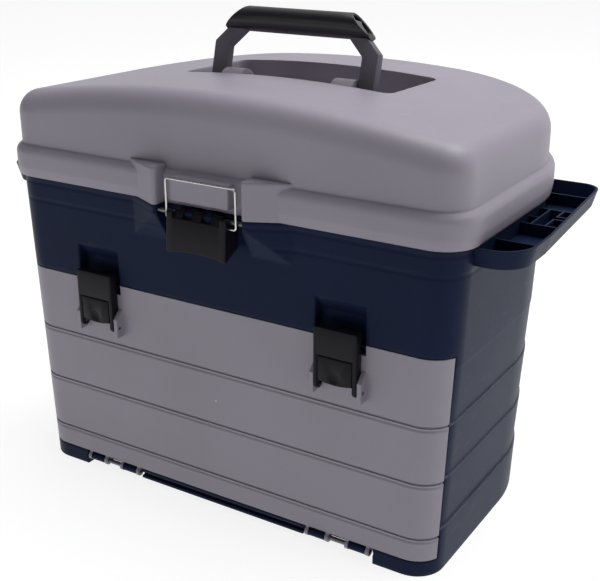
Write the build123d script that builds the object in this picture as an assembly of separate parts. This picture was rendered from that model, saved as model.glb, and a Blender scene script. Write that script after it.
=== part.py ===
from build123d import *
import os

# Body
base_width = 410.0
body_depth = 277.0
side_growth_share = 0.041
front_corner = 25.0
back_corner = 134.0
wall = 3.0
body_top = 282.0
foot_height = 5.0
foot_reach = 152.0
floor_top = 8.0
sill_depth = 16.0
ledge_heights = (42.0, 88.5, 135.0)
ledge_pitch = 46.5
ledge_drop = 1.4
ledge_fade = 0.4

# Lid
lid_bottom = 277.4
lid_step = 305.0
lid_overhang = 5.0
lid_front_corner = 29.0
lid_back_corner = 132.0
rim_round = 8.0
rim_tuck = 1.2
rim_tuck_rise = 8.0
dome_inset = 5.6
crown_top = 367.0
crown_half_span = 190.0
crown_sag = 15.0
crown_tilt = 1.2
dome_round = 20.0

# Lid hinge at the back
hinge_out = 9.0
hinge_drop = 6.4
knuckle_radius = 5.0
lid_pin_radius = 2.0
hinge_spread = 45.0
lid_knuckle = 16.0
body_knuckle = 10.0
knuckle_gap = 0.4
knuckle_web = 14.0

# Carrying handle and its recess in the lid
recess_half = 103.0
recess_front = 107.0
recess_depth = 92.0
recess_sink = 35.0
recess_corner = 9.0
handle_back = 121.0
pivot_rise = 16.0
leg_outer = 82.5
leg_width = 16.5
leg_thick = 11.0
handle_lean = 15
leg_end = 7.0
shoulder_below = 21.0
inner_shoulder_below = 25.0
grip_rise = 61.0
grip_radius = 10.8
grip_bore = 8.4
grip_half = 71.5
grip_slant = 17.0
bar_height = 9.0
handle_pin_radius = 2.5
boss_inner = 45.0
boss_radius = 13.0
boss_rise = 5.0
leg_gap = 0.6

# Main latch on the front
guard_inner = 41.5
guard_nose = 4.0
guard_reach = 15.5
guard_slope_share = 2.1
guard_round = 3.0
guard_top = 308.0
pad_tail = 244.0
pad_shoulder = 270.0
pin_seat = 6.0
catch_half = 28.5
catch_low = 283.0
catch_high = 302.0
catch_reach = 13.0
lever_half = 29.0
lever_low = 242.0
lever_high = 275.5
lever_skin = 3.0
lever_pin_out = 11.0
lever_pin_height = 273.0
lever_pin_radius = 2.0
lever_eye = 4.5
lever_front = 18.0
lever_flare = 2.0
cheek_gap = 1.0
cheek_low = 250.0
lever_barrels = (-18.5, 0.0, 18.5)
lever_barrel = 9.0
lever_barrel_radius = 3.6
barrel_gap = 0.5
lever_arch = 2.5
lever_arch_radius = 90.0
window_half = 23.0
window_low = 270.5
window_high = 280.0
wire_radius = 0.9
wire_gap = 0.35
wire_bend = 2.4
bail_pivot = 268.5
bail_leg = 33.7
bail_shift = 2.7
bail_tuck = 4.5

# Front door
door_low = 14.5
door_high = 191.5
door_return = 15.0
door_gap = 1.0
groove_heights = (34.0, 84.0, 134.0)
groove_height = 2.0
groove_depth = 0.9
door_axis_in = 1.5
door_axis_height = 9.5
tab_first = 91.6
tab_pitch = 19.2
tab_count = 4
tab_thick = 3.0
tab_radius = 4.0
door_pin_radius = 2.0
knuckle_side_gap = 0.4
notch_margin = 3.0
notch_depth = 11.0
sill_gap = 0.5

# Door latches
latch_at = 121.5
latch_half = 19.0
latch_low = 149.0
latch_high = 202.0
latch_front = 8.7
latch_pin_out = 4.6
latch_pin_height = 153.5
latch_pin_radius = 1.5
latch_eye = 4.2
latch_clear = 0.4
hook_low = 195.0
hook_in = 4.0
panel_half = 16.0
panel_top = 179.0
panel_groove = 1.2
panel_cut = 1.0
leg_gap_half = 15.4
leg_gap_rise = 8.5
lip_sag = 1.8
lip_radius = 65.0
dimple_radius = 14.0
dimple_sink = 1.2
dimple_height = 162.5
ear_thick = 3.6
ear_gap = 0.5
ear_low = 145.0
ear_high = 170.0
ear_reach = 8.0
pocket_half = 22.5
pocket_high = 223.0
pocket_depth = 10.0
pocket_ramp = 12.0

# Drawers, their rails and the floor of the upper bin
drawer_count = 3
drawer_first = 20.0
drawer_pitch = 56.0
drawer_height = 52.0
drawer_side_room = 16.0
drawer_front = 12.0
drawer_length = 200.0
drawer_front_corner = 6.0
drawer_back_corner = 70.0
drawer_wall = 2.0
pull_half = 45.0
pull_depth = 13.0
pull_lip = 5.0
cross_wall_at = 108.0
divider_thick = 1.6
divider_fit = 0.3
divider_shares = (-0.62, -0.2, 0.2, 0.62)
rear_divider_shares = (-0.42, 0.0, 0.42)
divider_drop = 3.0
rail_shelf = 2.5
rail_overlap = 7.0
rail_plate_in = 8.0
rail_plate = 2.5
rail_front = 20.0
rail_length = 140.0
rail_gap = 0.3
bin_floor_low = 187.0
bin_floor_thick = 3.0
bin_fit = 0.4

# Side trays
tray_standout = 37.7
tray_taper = 10.5
tray_bend_at = 80.0
tray_front = 24.0
tray_back = 233.6
tray_root_in = 85.0
tray_low = 260.5
tray_high = 275.5
tray_wall = 2.0
tray_fit = 0.1
tray_corners = (28.0, 18.0)
tray_divider_at = (60.0, 108.0, 152.0, 199.0)
tray_divider_low = 3.0
tray_draft = 4.0
cell_width = 15.0
lane_width = 26.5
lane_cross_at = 127.0
cell_cross_at = (127.5, 135.0)
tongue_at = (60.0, 105.0)
tongue_width = 16.0
tongue_height = 5.0
tongue_low = 262.0
tongue_hook = 2.5
tongue_fit = 0.25

# Shared fits
pin_clearance = 0.05
overrun = 5.0
quarter_turn = 90

front_reach = lever_front + lever_flare
rear_reach = hinge_out + knuckle_radius
front = -(body_depth + rear_reach - front_reach) / 2
back = front + body_depth
lid_axis_y = back + hinge_out
lid_axis_z = lid_bottom - hinge_drop
door_axis_y = front + door_axis_in
handle_y = front + handle_back
crown_radius = (crown_half_span**2 + crown_sag**2) / (2 * crown_sag)
recess_floor = crown_top - recess_sink
handle_pivot = recess_floor + pivot_rise
grip_height = handle_pivot + grip_rise
drawer_half = base_width / 2 - drawer_side_room
rail_plate_at = base_width / 2 - rail_plate_in
rail_reach = drawer_half - rail_overlap
tray_root = base_width / 2 - tray_root_in
tray_reach = base_width / 2 + side_growth_share * tray_high + tray_standout
cell_wall_at = tray_reach - cell_width


def half_width(height):
    return base_width / 2 + side_growth_share * height


def block(x_low, x_high, y_low, y_high, z_low, z_high):
    size = Box(x_high - x_low, y_high - y_low, z_high - z_low)
    return Pos((x_low + x_high) / 2, (y_low + y_high) / 2, (z_low + z_high) / 2) * size


def rod(x_low, x_high, y, z, radius):
    turned = Rot(0, quarter_turn, 0) * Cylinder(radius, x_high - x_low)
    return Pos((x_low + x_high) / 2, y, z) * turned


def rounded_plate(half, y_low, y_high, front_radius, back_radius):
    plate = Pos(0, (y_low + y_high) / 2) * Rectangle(2 * half, y_high - y_low)
    plate = fillet(plate.vertices().group_by(Axis.Y)[0], front_radius)
    return fillet(plate.vertices().group_by(Axis.Y)[-1], back_radius)


def body_outline(height, inset):
    half = half_width(height) - inset
    plate = rounded_plate(half, front + inset, back - inset, front_corner - inset, back_corner - inset)
    return Pos(0, 0, height) * plate


def body_block(low, high, inset):
    return loft([body_outline(low, inset), body_outline(high, inset)], ruled=True)


def lid_outline(height, inset):
    half = half_width(lid_bottom) + lid_overhang - inset
    low = front - lid_overhang + inset
    high = back + lid_overhang - inset
    plate = rounded_plate(half, low, high, lid_front_corner - inset, lid_back_corner - inset)
    return Pos(0, 0, height) * plate


def side_profile(points, x_low, x_high):
    face = make_face(Plane.YZ * Polyline(*points, close=True))
    return Pos(x_low, 0, 0) * extrude(face, x_high - x_low, dir=(1, 0, 0))


def both_sides(piece):
    return piece + mirror(piece, about=Plane.YZ)


# Body shell with the door opening, bin wall and base
def ledge_cuts():
    reach = half_width(body_top) + overrun
    start = front + door_return + door_gap
    made = []
    for height in ledge_heights:
        high = height + ledge_pitch
        kept = loft([body_outline(height, ledge_drop), body_outline(high, ledge_fade)], ruled=True)
        ring = body_block(height, high, -overrun) - kept
        made.append(ring & block(-reach, reach, start, back + overrun, height, high))
    return made


def latch_pocket():
    low = door_high + door_gap
    reach = pocket_depth + wall
    half = pocket_half + wall
    box = block(-half, half, front + wall, front + reach, low, pocket_high + wall)
    room = side_profile(
        [
            (front - overrun, low - overrun),
            (front + pocket_depth, low - overrun),
            (front + pocket_depth, pocket_high - pocket_ramp),
            (front, pocket_high),
            (front - overrun, pocket_high),
        ],
        -pocket_half,
        pocket_half,
    )
    return Pos(latch_at, 0, 0) * box, Pos(latch_at, 0, 0) * room


def guard_plan(y_back):
    nose = guard_inner + guard_nose
    y = front - guard_reach
    outer = nose + guard_slope_share * (y_back - y)
    points = [(guard_inner, y_back), (guard_inner, y), (nose, y), (outer, y_back)]
    face = make_face(Polyline(*points, close=True))
    return fillet(face.vertices().group_by(Axis.Y)[0], guard_round)


def guard_pad():
    top = lid_bottom - knuckle_gap
    reach = half_width(top)
    points = [
        (front + wall, pad_tail),
        (front, pad_tail),
        (front - guard_reach, pad_shoulder),
        (front - guard_reach, top),
        (front + wall, top),
    ]
    pad = extrude(Pos(0, 0, pad_tail) * guard_plan(front + wall / 2), top - pad_tail)
    return pad & side_profile(points, 0, reach)


def lever_hinge_barrels():
    made = []
    y = front - lever_pin_out
    for left, right in zip(lever_barrels, lever_barrels[1:]):
        low = left + lever_barrel / 2 + barrel_gap
        high = right - lever_barrel / 2 - barrel_gap
        radius = lever_barrel_radius - barrel_gap
        z = lever_pin_height
        web = block(low, high, y, front + wall / 2, z - radius, z + radius)
        made.append(web + rod(low, high, y, z, radius))
    return made


def body_hinge_knuckle(centre):
    start = lid_knuckle / 2 + knuckle_gap
    web = side_profile(
        [
            (back - wall / 2, lid_axis_z + knuckle_radius),
            (lid_axis_y, lid_axis_z + knuckle_radius),
            (lid_axis_y, lid_axis_z - knuckle_radius),
            (back - wall / 2, lid_axis_z - knuckle_web),
        ],
        start,
        start + body_knuckle,
    )
    one = web + rod(start, start + body_knuckle, lid_axis_y, lid_axis_z, knuckle_radius)
    return Pos(centre, 0, 0) * both_sides(one)


def tab_places():
    return [tab_first + tab_pitch * k for k in range(tab_count)]


def door_notch():
    first = tab_places()[0] - tab_thick / 2 - notch_margin
    last = tab_places()[-1] + tab_thick / 2 + notch_margin
    return block(first, last, front - overrun, front + notch_depth, 0, door_low + overrun)


def door_knuckles():
    made = []
    places = tab_places()
    for near, far in ((places[0], places[1]), (places[2], places[3])):
        low = near + tab_thick / 2 + knuckle_side_gap
        high = far - tab_thick / 2 - knuckle_side_gap
        low_z = foot_height
        high_z = door_axis_height + tab_radius - knuckle_side_gap
        web = block(low, high, door_axis_y, front + notch_depth + wall, low_z, high_z)
        radius = tab_radius - knuckle_side_gap
        one = web + rod(low, high, door_axis_y, door_axis_height, radius)
        made.append(one)
    return made


def tray_slots(fit):
    made = []
    for place in tongue_at:
        half = tongue_width / 2 + fit
        low = half_width(tongue_low) - wall - tongue_hook - fit
        y = front + place
        made.append(
            block(low, tray_reach, y - half, y + half, tongue_low - fit, tongue_low + tongue_height + fit)
        )
    return made


def body_shell():
    shell = body_block(0, body_top, 0)
    shell -= ledge_cuts()
    shell -= body_block(floor_top, body_top + overrun, wall)
    reach = half_width(body_top) + overrun
    opening_low = door_low - sill_gap
    opening_high = door_high + door_gap
    opening_back = front + door_return + door_gap
    shell -= block(-reach, reach, front - overrun, opening_back, opening_low, opening_high)
    sill_half = half_width(0) - front_corner
    shell += block(-sill_half, sill_half, front, front + sill_depth, foot_height, opening_low)
    shell -= block(-foot_reach, foot_reach, front - overrun, back + overrun, -overrun, foot_height)
    box, room = latch_pocket()
    shell += [box, mirror(box, about=Plane.YZ)]
    shell -= [room, mirror(room, about=Plane.YZ)]
    shell += both_sides(guard_pad())
    shell += lever_hinge_barrels()
    shell -= both_sides(door_notch())
    shell += [both_sides(one) for one in door_knuckles()]
    shell += [body_hinge_knuckle(side * hinge_spread) for side in (-1, 1)]
    shell -= [both_sides(slot) for slot in tray_slots(tongue_fit)]
    bore = guard_inner + pin_seat
    shell -= rod(-bore, bore, front - lever_pin_out, lever_pin_height, lever_pin_radius + pin_clearance)
    reach = hinge_spread + lid_knuckle / 2 + body_knuckle + overrun
    shell -= rod(-reach, reach, lid_axis_y, lid_axis_z, lid_pin_radius + pin_clearance)
    reach = tab_places()[-1] + overrun
    shell -= rod(-reach, reach, door_axis_y, door_axis_height, door_pin_radius + pin_clearance)
    return shell


# Floor of the upper bin and the drawer rails that carry it
def bin_floor():
    return body_block(bin_floor_low, bin_floor_low + bin_floor_thick, wall + bin_fit)


def drawer_base(level):
    return drawer_first + drawer_pitch * level


def drawer_rail():
    y_low = front + rail_front
    y_high = y_low + rail_length
    rail = block(rail_plate_at - rail_plate, rail_plate_at, y_low, y_high, floor_top, bin_floor_low)
    for level in range(drawer_count):
        top = drawer_base(level) - rail_gap
        rail += block(rail_reach, rail_plate_at, y_low, y_high, top - rail_shelf, top)
    return rail


# Clip-on side tray
def tray_face(inset):
    points = [
        (tray_root, front + tray_front + inset),
        (tray_reach - inset, front + tray_front + inset),
        (tray_reach - inset, front + tray_bend_at),
        (tray_reach - tray_taper - inset, front + tray_back - inset),
        (tray_root, front + tray_back - inset),
    ]
    face = make_face(Polyline(*points, close=True))
    for point, corner in zip((points[1], points[3]), tray_corners):
        near = face.vertices().sort_by_distance(Vertex(*point, 0))[0]
        face = fillet(near, corner - inset)
    return face


def tray_walls():
    y = front
    pieces = []
    for place in tray_divider_at:
        pieces.append((tray_root, tray_reach, y + place, y + place + divider_thick))
    first, second = tray_divider_at[1:3]
    lane = tray_reach - lane_width
    pieces.append((lane - divider_thick, lane, y + first, y + second))
    pieces.append((tray_root, lane, y + lane_cross_at, y + lane_cross_at + divider_thick))
    near, far = cell_cross_at
    pieces.append((cell_wall_at - divider_thick, cell_wall_at, y + first, y + near + divider_thick))
    pieces.append((cell_wall_at - divider_thick, cell_wall_at, y + far, y + second))
    for place in cell_cross_at:
        pieces.append((cell_wall_at, tray_reach, y + place, y + place + divider_thick))
    return pieces


def side_tray():
    height = tray_high - tray_low
    foot = Pos(0, 0, tray_low) * tray_face(tray_draft)
    brim = Pos(0, 0, tray_high) * tray_face(0)
    outer = loft([foot, brim], ruled=True)
    inset = tray_draft + tray_wall
    low_face = Pos(0, 0, tray_low) * tray_face(inset)
    high_face = Pos(0, 0, tray_high) * tray_face(tray_wall)
    room = loft([low_face, high_face], ruled=True)
    room &= block(0, tray_reach, front, back, tray_low + tray_wall, tray_high + overrun)
    room -= body_block(tray_low - overrun, tray_high + height, -tray_fit - tray_wall)
    tray = outer - room
    for x_low, x_high, y_low, y_high in tray_walls():
        low = tray_low + tray_wall / 2
        tray += outer & block(x_low, x_high, y_low, y_high, low, tray_high - tray_divider_low)
    tray -= body_block(tray_low - overrun, tray_high + height, -tray_fit)
    for slot in tray_slots(0):
        edge = half_width(tongue_low) + tray_wall
        tray += slot & block(0, edge, front, back, tray_low, tray_high)
    return tray


# Lid shell with its dome, handle recess, latch guards and hinge knuckles
def dome(inset):
    base = lid_step - rim_round - inset
    top = crown_top - inset
    tall = extrude(lid_outline(base, dome_inset + inset), top + overrun - base)
    roof = Rot(quarter_turn, 0, 0) * Cylinder(crown_radius, 3 * body_depth)
    tall &= Pos(0, front, top) * Rot(-crown_tilt, 0, 0) * Pos(0, body_depth, -crown_radius) * roof
    rim = tall.faces().sort_by(Axis.Z)[-1].edges()
    return fillet(rim, dome_round - inset)


def lid_rim():
    turn = lid_bottom + rim_tuck_rise
    tuck = loft([lid_outline(lid_bottom, rim_tuck), lid_outline(turn, 0)], ruled=True)
    rim = extrude(lid_outline(turn, 0), lid_step - turn)
    return tuck + fillet(rim.faces().sort_by(Axis.Z)[-1].edges(), rim_round)


def lid_room():
    low = extrude(lid_outline(lid_bottom - overrun, wall), lid_step - wall - lid_bottom + overrun)
    return low + dome(wall)


def recess_plate(outset):
    half = recess_half + outset
    low = front + recess_front - outset
    high = low + recess_depth + 2 * outset
    radius = recess_corner + outset
    return rounded_plate(half, low, high, radius, radius)


def handle_boss():
    outer = leg_outer - leg_width - leg_gap
    top = handle_pivot + boss_rise
    low = recess_floor - wall / 2
    foot = block(boss_inner, outer, handle_y - boss_radius, handle_y + boss_radius, low, top)
    return foot + rod(boss_inner, outer, handle_y, top, boss_radius)


def lid_guard():
    low = guard_plan(front - lid_overhang + wall / 2)
    high = guard_plan(front + wall / 2)
    guard = extrude(Pos(0, 0, lid_bottom) * low, guard_top - lid_bottom)
    return guard + extrude(Pos(0, 0, lid_step - wall) * high, guard_top - lid_step + wall)


def catch_block():
    y_low = front - catch_reach
    y_high = front - lid_overhang + wall / 2
    return block(-catch_half, catch_half, y_low, y_high, catch_low, catch_high)


def lid_hinge_knuckle(centre):
    half = lid_knuckle / 2
    arm = side_profile(
        [
            (back + lid_overhang - wall / 2, lid_bottom),
            (lid_axis_y - knuckle_radius, lid_axis_z),
            (lid_axis_y + knuckle_radius, lid_axis_z),
            (lid_axis_y + knuckle_radius, lid_bottom),
            (back + lid_overhang - wall / 2, lid_bottom + knuckle_web),
        ],
        -half,
        half,
    )
    arm += rod(-half, half, lid_axis_y, lid_axis_z, knuckle_radius)
    return Pos(centre, 0, 0) * arm


def lid_shell():
    outer = lid_rim() + dome(0)
    lid = outer - lid_room()
    tub_height = crown_top - recess_floor + wall
    tub = extrude(Pos(0, 0, recess_floor - wall) * recess_plate(wall), tub_height)
    lid += tub & dome(0)
    lid -= extrude(Pos(0, 0, recess_floor) * recess_plate(0), tub_height)
    lid += both_sides(handle_boss())
    lid += both_sides(lid_guard())
    lid += catch_block()
    lid += [lid_hinge_knuckle(side * hinge_spread) for side in (-1, 1)]
    reach = hinge_spread + lid_knuckle
    lid -= rod(-reach, reach, lid_axis_y, lid_axis_z, lid_pin_radius + pin_clearance)
    bore = rod(boss_inner + wall, leg_outer, handle_y, handle_pivot, handle_pin_radius + pin_clearance)
    lid -= both_sides(bore)
    return lid


def lid_hinge_pins():
    half = lid_knuckle / 2 + knuckle_gap + body_knuckle
    pin = rod(hinge_spread - half, hinge_spread + half, lid_axis_y, lid_axis_z, lid_pin_radius)
    return Compound(children=[pin, mirror(pin, about=Plane.YZ)])


# Carrying handle
def leaned(shape):
    pivot = Pos(0, handle_y, handle_pivot)
    return pivot * Rot(-handle_lean, 0, 0) * pivot.inverse() * shape


def handle_frame():
    half = leg_thick / 2
    inner = leg_outer - leg_width
    low = handle_pivot
    shoulder = grip_height - shoulder_below
    inner_shoulder = grip_height - inner_shoulder_below
    bar_low = grip_height - bar_height / 2
    bar_high = grip_height + bar_height / 2
    points = [
        (leg_outer, low),
        (leg_outer, shoulder),
        (leg_outer + shoulder - bar_high, bar_high),
        (0, bar_high),
        (0, bar_low),
        (inner + inner_shoulder - bar_low, bar_low),
        (inner, inner_shoulder),
        (inner, low),
    ]
    face = make_face(Plane.XZ * Polyline(*points, close=True))
    one = Pos(0, handle_y, 0) * extrude(face, half, both=True)
    one += rod(inner, leg_outer, handle_y, handle_pivot, leg_end)
    bore = handle_pin_radius + pin_clearance
    one -= rod(inner - overrun, leg_outer + overrun, handle_y, handle_pivot, bore)
    return leaned(both_sides(one))


def handle_grip():
    tube = rod(-grip_half, grip_half, handle_y, grip_height, grip_radius)
    bore = rod(-grip_half - overrun, grip_half + overrun, handle_y, grip_height, grip_bore)
    high = grip_height + grip_radius
    low = grip_height - grip_radius
    points = [
        (grip_half, low),
        (grip_half - grip_slant, high),
        (grip_slant - grip_half, high),
        (-grip_half, low),
    ]
    face = make_face(Plane.XZ * Polyline(*points, close=True))
    keep = Pos(0, handle_y, 0) * extrude(face, grip_radius, both=True)
    grip = (tube & keep) - bore
    slot_low = leg_outer - leg_width + bar_height / 2 - inner_shoulder_below - leg_gap
    half = leg_thick / 2 + leg_gap
    slot = block(slot_low, leg_outer, handle_y - half, handle_y + half, low - overrun, grip_height)
    return leaned(grip - both_sides(slot))


def handle_pins():
    low = boss_inner + wall + pin_clearance
    pin = rod(low, leg_outer, handle_y, handle_pivot, handle_pin_radius)
    return Compound(children=[pin, mirror(pin, about=Plane.YZ)])


# Main latch: lever, wire bail and pin
def wire_y():
    return front - catch_reach - wire_gap - wire_radius


def main_latch_lever():
    pin_y = front - lever_pin_out
    face_y = front - lever_front
    plate = side_profile(
        [
            (face_y + lever_skin, lever_high),
            (face_y, lever_high),
            (face_y, window_low),
            (face_y - lever_flare, lever_low),
            (face_y - lever_flare + lever_skin, lever_low),
            (face_y + lever_skin, window_low),
        ],
        -lever_half,
        lever_half,
    )
    plate -= block(-window_half, window_half, face_y - overrun, face_y + overrun, window_low, window_high)
    cheek = side_profile(
        [
            (face_y + lever_skin / 2, lever_high),
            (pin_y, lever_high),
            (front - cheek_gap, lever_pin_height),
            (front - cheek_gap, cheek_low),
            (face_y - lever_flare + lever_skin, lever_low),
            (face_y - lever_flare + lever_skin / 2, lever_low),
        ],
        lever_half - lever_skin,
        lever_half,
    )
    cheek += rod(lever_half - lever_skin, lever_half, pin_y, lever_pin_height, lever_eye)
    lever = plate + both_sides(cheek)
    for place in lever_barrels:
        low = place - lever_barrel / 2
        high = place + lever_barrel / 2
        web_low = window_low - lever_skin / 2
        lever += block(low, high, face_y + lever_skin / 2, pin_y, web_low, lever_pin_height)
        lever += rod(low, high, pin_y, lever_pin_height, lever_barrel_radius)
    reach = lever_half + overrun
    lever -= rod(-reach, reach, pin_y, lever_pin_height, lever_pin_radius + pin_clearance)
    arch = Rot(quarter_turn, 0, 0) * Cylinder(lever_arch_radius, lever_skin + 2 * overrun)
    lever -= Pos(0, face_y - lever_flare, lever_low + lever_arch - lever_arch_radius) * arch
    tuck = lever_half - bail_tuck - overrun
    bore = rod(tuck, lever_half + overrun, wire_y(), bail_pivot, wire_radius + pin_clearance)
    return lever - both_sides(bore)


def main_latch_pin():
    reach = guard_inner + pin_seat - pin_clearance
    return rod(-reach, reach, front - lever_pin_out, lever_pin_height, lever_pin_radius)


def main_latch_bail():
    y = wire_y()
    high = catch_high - wire_radius
    tuck = lever_half - bail_tuck
    path = FilletPolyline(
        (-tuck, y, bail_pivot),
        (bail_shift - bail_leg, y, bail_pivot),
        (bail_shift - bail_leg, y, high),
        (bail_shift + bail_leg, y, high),
        (bail_shift + bail_leg, y, bail_pivot),
        (tuck, y, bail_pivot),
        radius=wire_bend,
    )
    section = Plane(origin=path @ 0, z_dir=path % 0) * Circle(wire_radius)
    return sweep(section, path=path)


# Front door
def door_grooves():
    made = []
    for height in groove_heights:
        outer = body_block(height, height + groove_height, -overrun)
        made.append(outer - body_block(height - overrun, height + overrun, groove_depth))
    return made


def latch_ears():
    low = latch_half + ear_gap
    points = [
        (front + wall / 2, ear_low),
        (front - ear_reach, ear_low),
        (front - ear_reach, ear_high - ear_reach),
        (front, ear_high),
        (front + wall / 2, ear_high),
    ]
    return both_sides(side_profile(points, low, low + ear_thick))


def door_tabs():
    made = []
    for place in tab_places():
        low = place - tab_thick / 2
        high = place + tab_thick / 2
        slab = block(low, high, front, front + wall, door_axis_height, door_low + wall)
        made.append(slab + rod(low, high, door_axis_y, door_axis_height, tab_radius))
    return made


def front_door():
    door = body_block(0, body_top, 0) - body_block(-overrun, body_top + overrun, wall)
    reach = half_width(body_top) + overrun
    door &= block(-reach, reach, front - overrun, front + door_return, door_low, door_high)
    door -= door_grooves()
    low = hook_low - pocket_ramp
    y_high = front + wall + overrun
    notch = block(-pocket_half, pocket_half, front - overrun, y_high, low, door_high + overrun)
    door -= [Pos(side * latch_at, 0, 0) * notch for side in (-1, 1)]
    door += [Pos(side * latch_at, 0, 0) * latch_ears() for side in (-1, 1)]
    door += [both_sides(tab) for tab in door_tabs()]
    reach = tab_places()[-1] + overrun
    door -= rod(-reach, reach, door_axis_y, door_axis_height, door_pin_radius + pin_clearance)
    reach = latch_at + latch_half + ear_gap + ear_thick + overrun
    y = front - latch_pin_out
    door -= rod(-reach, reach, y, latch_pin_height, latch_pin_radius + pin_clearance)
    return door


def door_hinge_pins():
    low = tab_places()[0] - tab_thick / 2
    high = tab_places()[-1] + tab_thick / 2
    pin = rod(low, high, door_axis_y, door_axis_height, door_pin_radius)
    return Compound(children=[pin, mirror(pin, about=Plane.YZ)])


def door_latch_pins():
    half = latch_half + ear_gap + ear_thick
    y = front - latch_pin_out
    made = []
    for centre in (-latch_at, latch_at):
        for side in (-1, 1):
            ends = sorted((centre + side * leg_gap_half, centre + side * half))
            made.append(rod(*ends, y, latch_pin_height, latch_pin_radius))
    return Compound(children=made)


def door_latch():
    y_front = front - latch_front
    y_back = front - latch_clear
    points = [
        (y_back, latch_pin_height),
        (y_back, hook_low),
        (front + hook_in, hook_low),
        (front + hook_in, latch_high - hook_in),
        (y_back, latch_high),
        (y_front, latch_high),
        (y_front, latch_pin_height),
    ]
    latch = side_profile(points, -latch_half, latch_half)
    y_pin = front - latch_pin_out
    latch += rod(-latch_half, latch_half, y_pin, latch_pin_height, latch_eye)
    low = latch_low - overrun
    frame = block(-panel_half, panel_half, y_front - overrun, y_front + panel_cut, low, panel_top)
    inner = panel_half - panel_groove
    frame -= block(-inner, inner, y_front - overrun, y_front + overrun, low, panel_top - panel_groove)
    latch -= frame
    latch -= Pos(0, y_front - dimple_radius + dimple_sink, dimple_height) * Sphere(dimple_radius)
    lip = latch_low + leg_gap_rise
    y_low = y_front - overrun
    gap = block(-leg_gap_half, leg_gap_half, y_low, front + overrun, low, lip)
    roller = Rot(quarter_turn, 0, 0) * Cylinder(lip_radius, 4 * latch_front)
    latch -= gap - Pos(0, front, lip - lip_sag + lip_radius) * roller
    reach = latch_half + overrun
    return latch - rod(-reach, reach, y_pin, latch_pin_height, latch_pin_radius + pin_clearance)


# Drawers and their loose dividers
def drawer_plate(inset):
    low = front + drawer_front + inset
    high = front + drawer_front + drawer_length - inset
    corner = drawer_front_corner - inset
    return rounded_plate(drawer_half - inset, low, high, corner, drawer_back_corner - inset)


def drawer(level):
    base = drawer_base(level)
    box = extrude(Pos(0, 0, base) * drawer_plate(0), drawer_height)
    room = extrude(Pos(0, 0, base + drawer_wall) * drawer_plate(drawer_wall), drawer_height)
    top = base + drawer_height
    y = front + cross_wall_at
    room -= block(-drawer_half, drawer_half, y, y + drawer_wall, base, top - divider_drop)
    box -= room
    y = front + drawer_front
    y_high = y + drawer_wall + overrun
    box -= block(-pull_half, pull_half, y - overrun, y_high, top - pull_depth, top + overrun)
    low = top - pull_depth - drawer_wall
    box += block(-pull_half, pull_half, y - pull_lip, y + drawer_wall, low, top - pull_depth)
    return box


def drawer_dividers(level):
    low = drawer_base(level) + drawer_wall
    high = drawer_base(level) + drawer_height - pull_depth - divider_drop
    half = divider_thick / 2
    near = front + drawer_front + drawer_wall + divider_fit
    middle = front + cross_wall_at
    far = front + drawer_front + drawer_length - drawer_wall - divider_fit
    made = []
    for share in divider_shares:
        x = share * drawer_half
        made.append(block(x - half, x + half, near, middle - divider_fit, low, high))
    for share in rear_divider_shares:
        x = share * drawer_half
        made.append(block(x - half, x + half, middle + drawer_wall + divider_fit, far, low, high))
    return Compound(children=made)


def main():
    os.makedirs("parts", exist_ok=True)
    tray = side_tray()
    rail = drawer_rail()
    latch = door_latch()
    nodes = {
        "body_shell": body_shell(),
        "bin_floor": bin_floor(),
        "drawer_rail_right": rail,
        "drawer_rail_left": mirror(rail, about=Plane.YZ),
        "side_tray_right": tray,
        "side_tray_left": mirror(tray, about=Plane.YZ),
        "lid_shell": lid_shell(),
        "lid_hinge_pins": lid_hinge_pins(),
        "handle_frame": handle_frame(),
        "handle_grip": handle_grip(),
        "handle_pins": handle_pins(),
        "main_latch_lever": main_latch_lever(),
        "main_latch_bail": main_latch_bail(),
        "main_latch_pin": main_latch_pin(),
        "front_door": front_door(),
        "door_hinge_pins": door_hinge_pins(),
        "door_latch_pins": door_latch_pins(),
        "door_latch_left": Pos(-latch_at, 0, 0) * latch,
        "door_latch_right": Pos(latch_at, 0, 0) * latch,
    }
    for level, name in enumerate(("bottom", "middle", "top")):
        nodes["drawer_" + name] = drawer(level)
        nodes["dividers_" + name] = drawer_dividers(level)
    for name, shape in nodes.items():
        export_step(shape, "parts/" + name + ".step")


main()
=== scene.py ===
import math

import bmesh
import bpy
from mathutils import Matrix, Vector


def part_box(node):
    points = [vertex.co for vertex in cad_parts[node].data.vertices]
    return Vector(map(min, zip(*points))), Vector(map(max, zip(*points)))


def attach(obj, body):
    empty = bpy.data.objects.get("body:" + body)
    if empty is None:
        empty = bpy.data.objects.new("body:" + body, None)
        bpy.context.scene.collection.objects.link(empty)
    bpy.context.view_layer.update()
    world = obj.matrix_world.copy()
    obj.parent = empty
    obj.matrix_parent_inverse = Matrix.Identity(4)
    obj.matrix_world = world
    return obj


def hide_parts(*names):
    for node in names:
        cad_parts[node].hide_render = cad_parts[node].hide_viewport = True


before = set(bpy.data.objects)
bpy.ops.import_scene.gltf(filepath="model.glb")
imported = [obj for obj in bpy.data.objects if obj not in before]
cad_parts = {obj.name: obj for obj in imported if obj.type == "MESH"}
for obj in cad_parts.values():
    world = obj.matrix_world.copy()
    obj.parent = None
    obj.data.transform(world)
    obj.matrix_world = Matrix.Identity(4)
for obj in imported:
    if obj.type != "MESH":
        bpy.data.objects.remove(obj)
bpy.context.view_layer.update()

bl_info = {
    "name": "Storage Chest",
    "version": (1, 0, 0),
    "blender": (4, 5, 0),
    "location": "3D View > Sidebar > Chest",
    "description": "Dresses a moulded storage chest with its fittings, finishes and studio",
    "category": "Object",
}

MM = 0.001
IMAGE_WIDTH = 600

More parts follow.
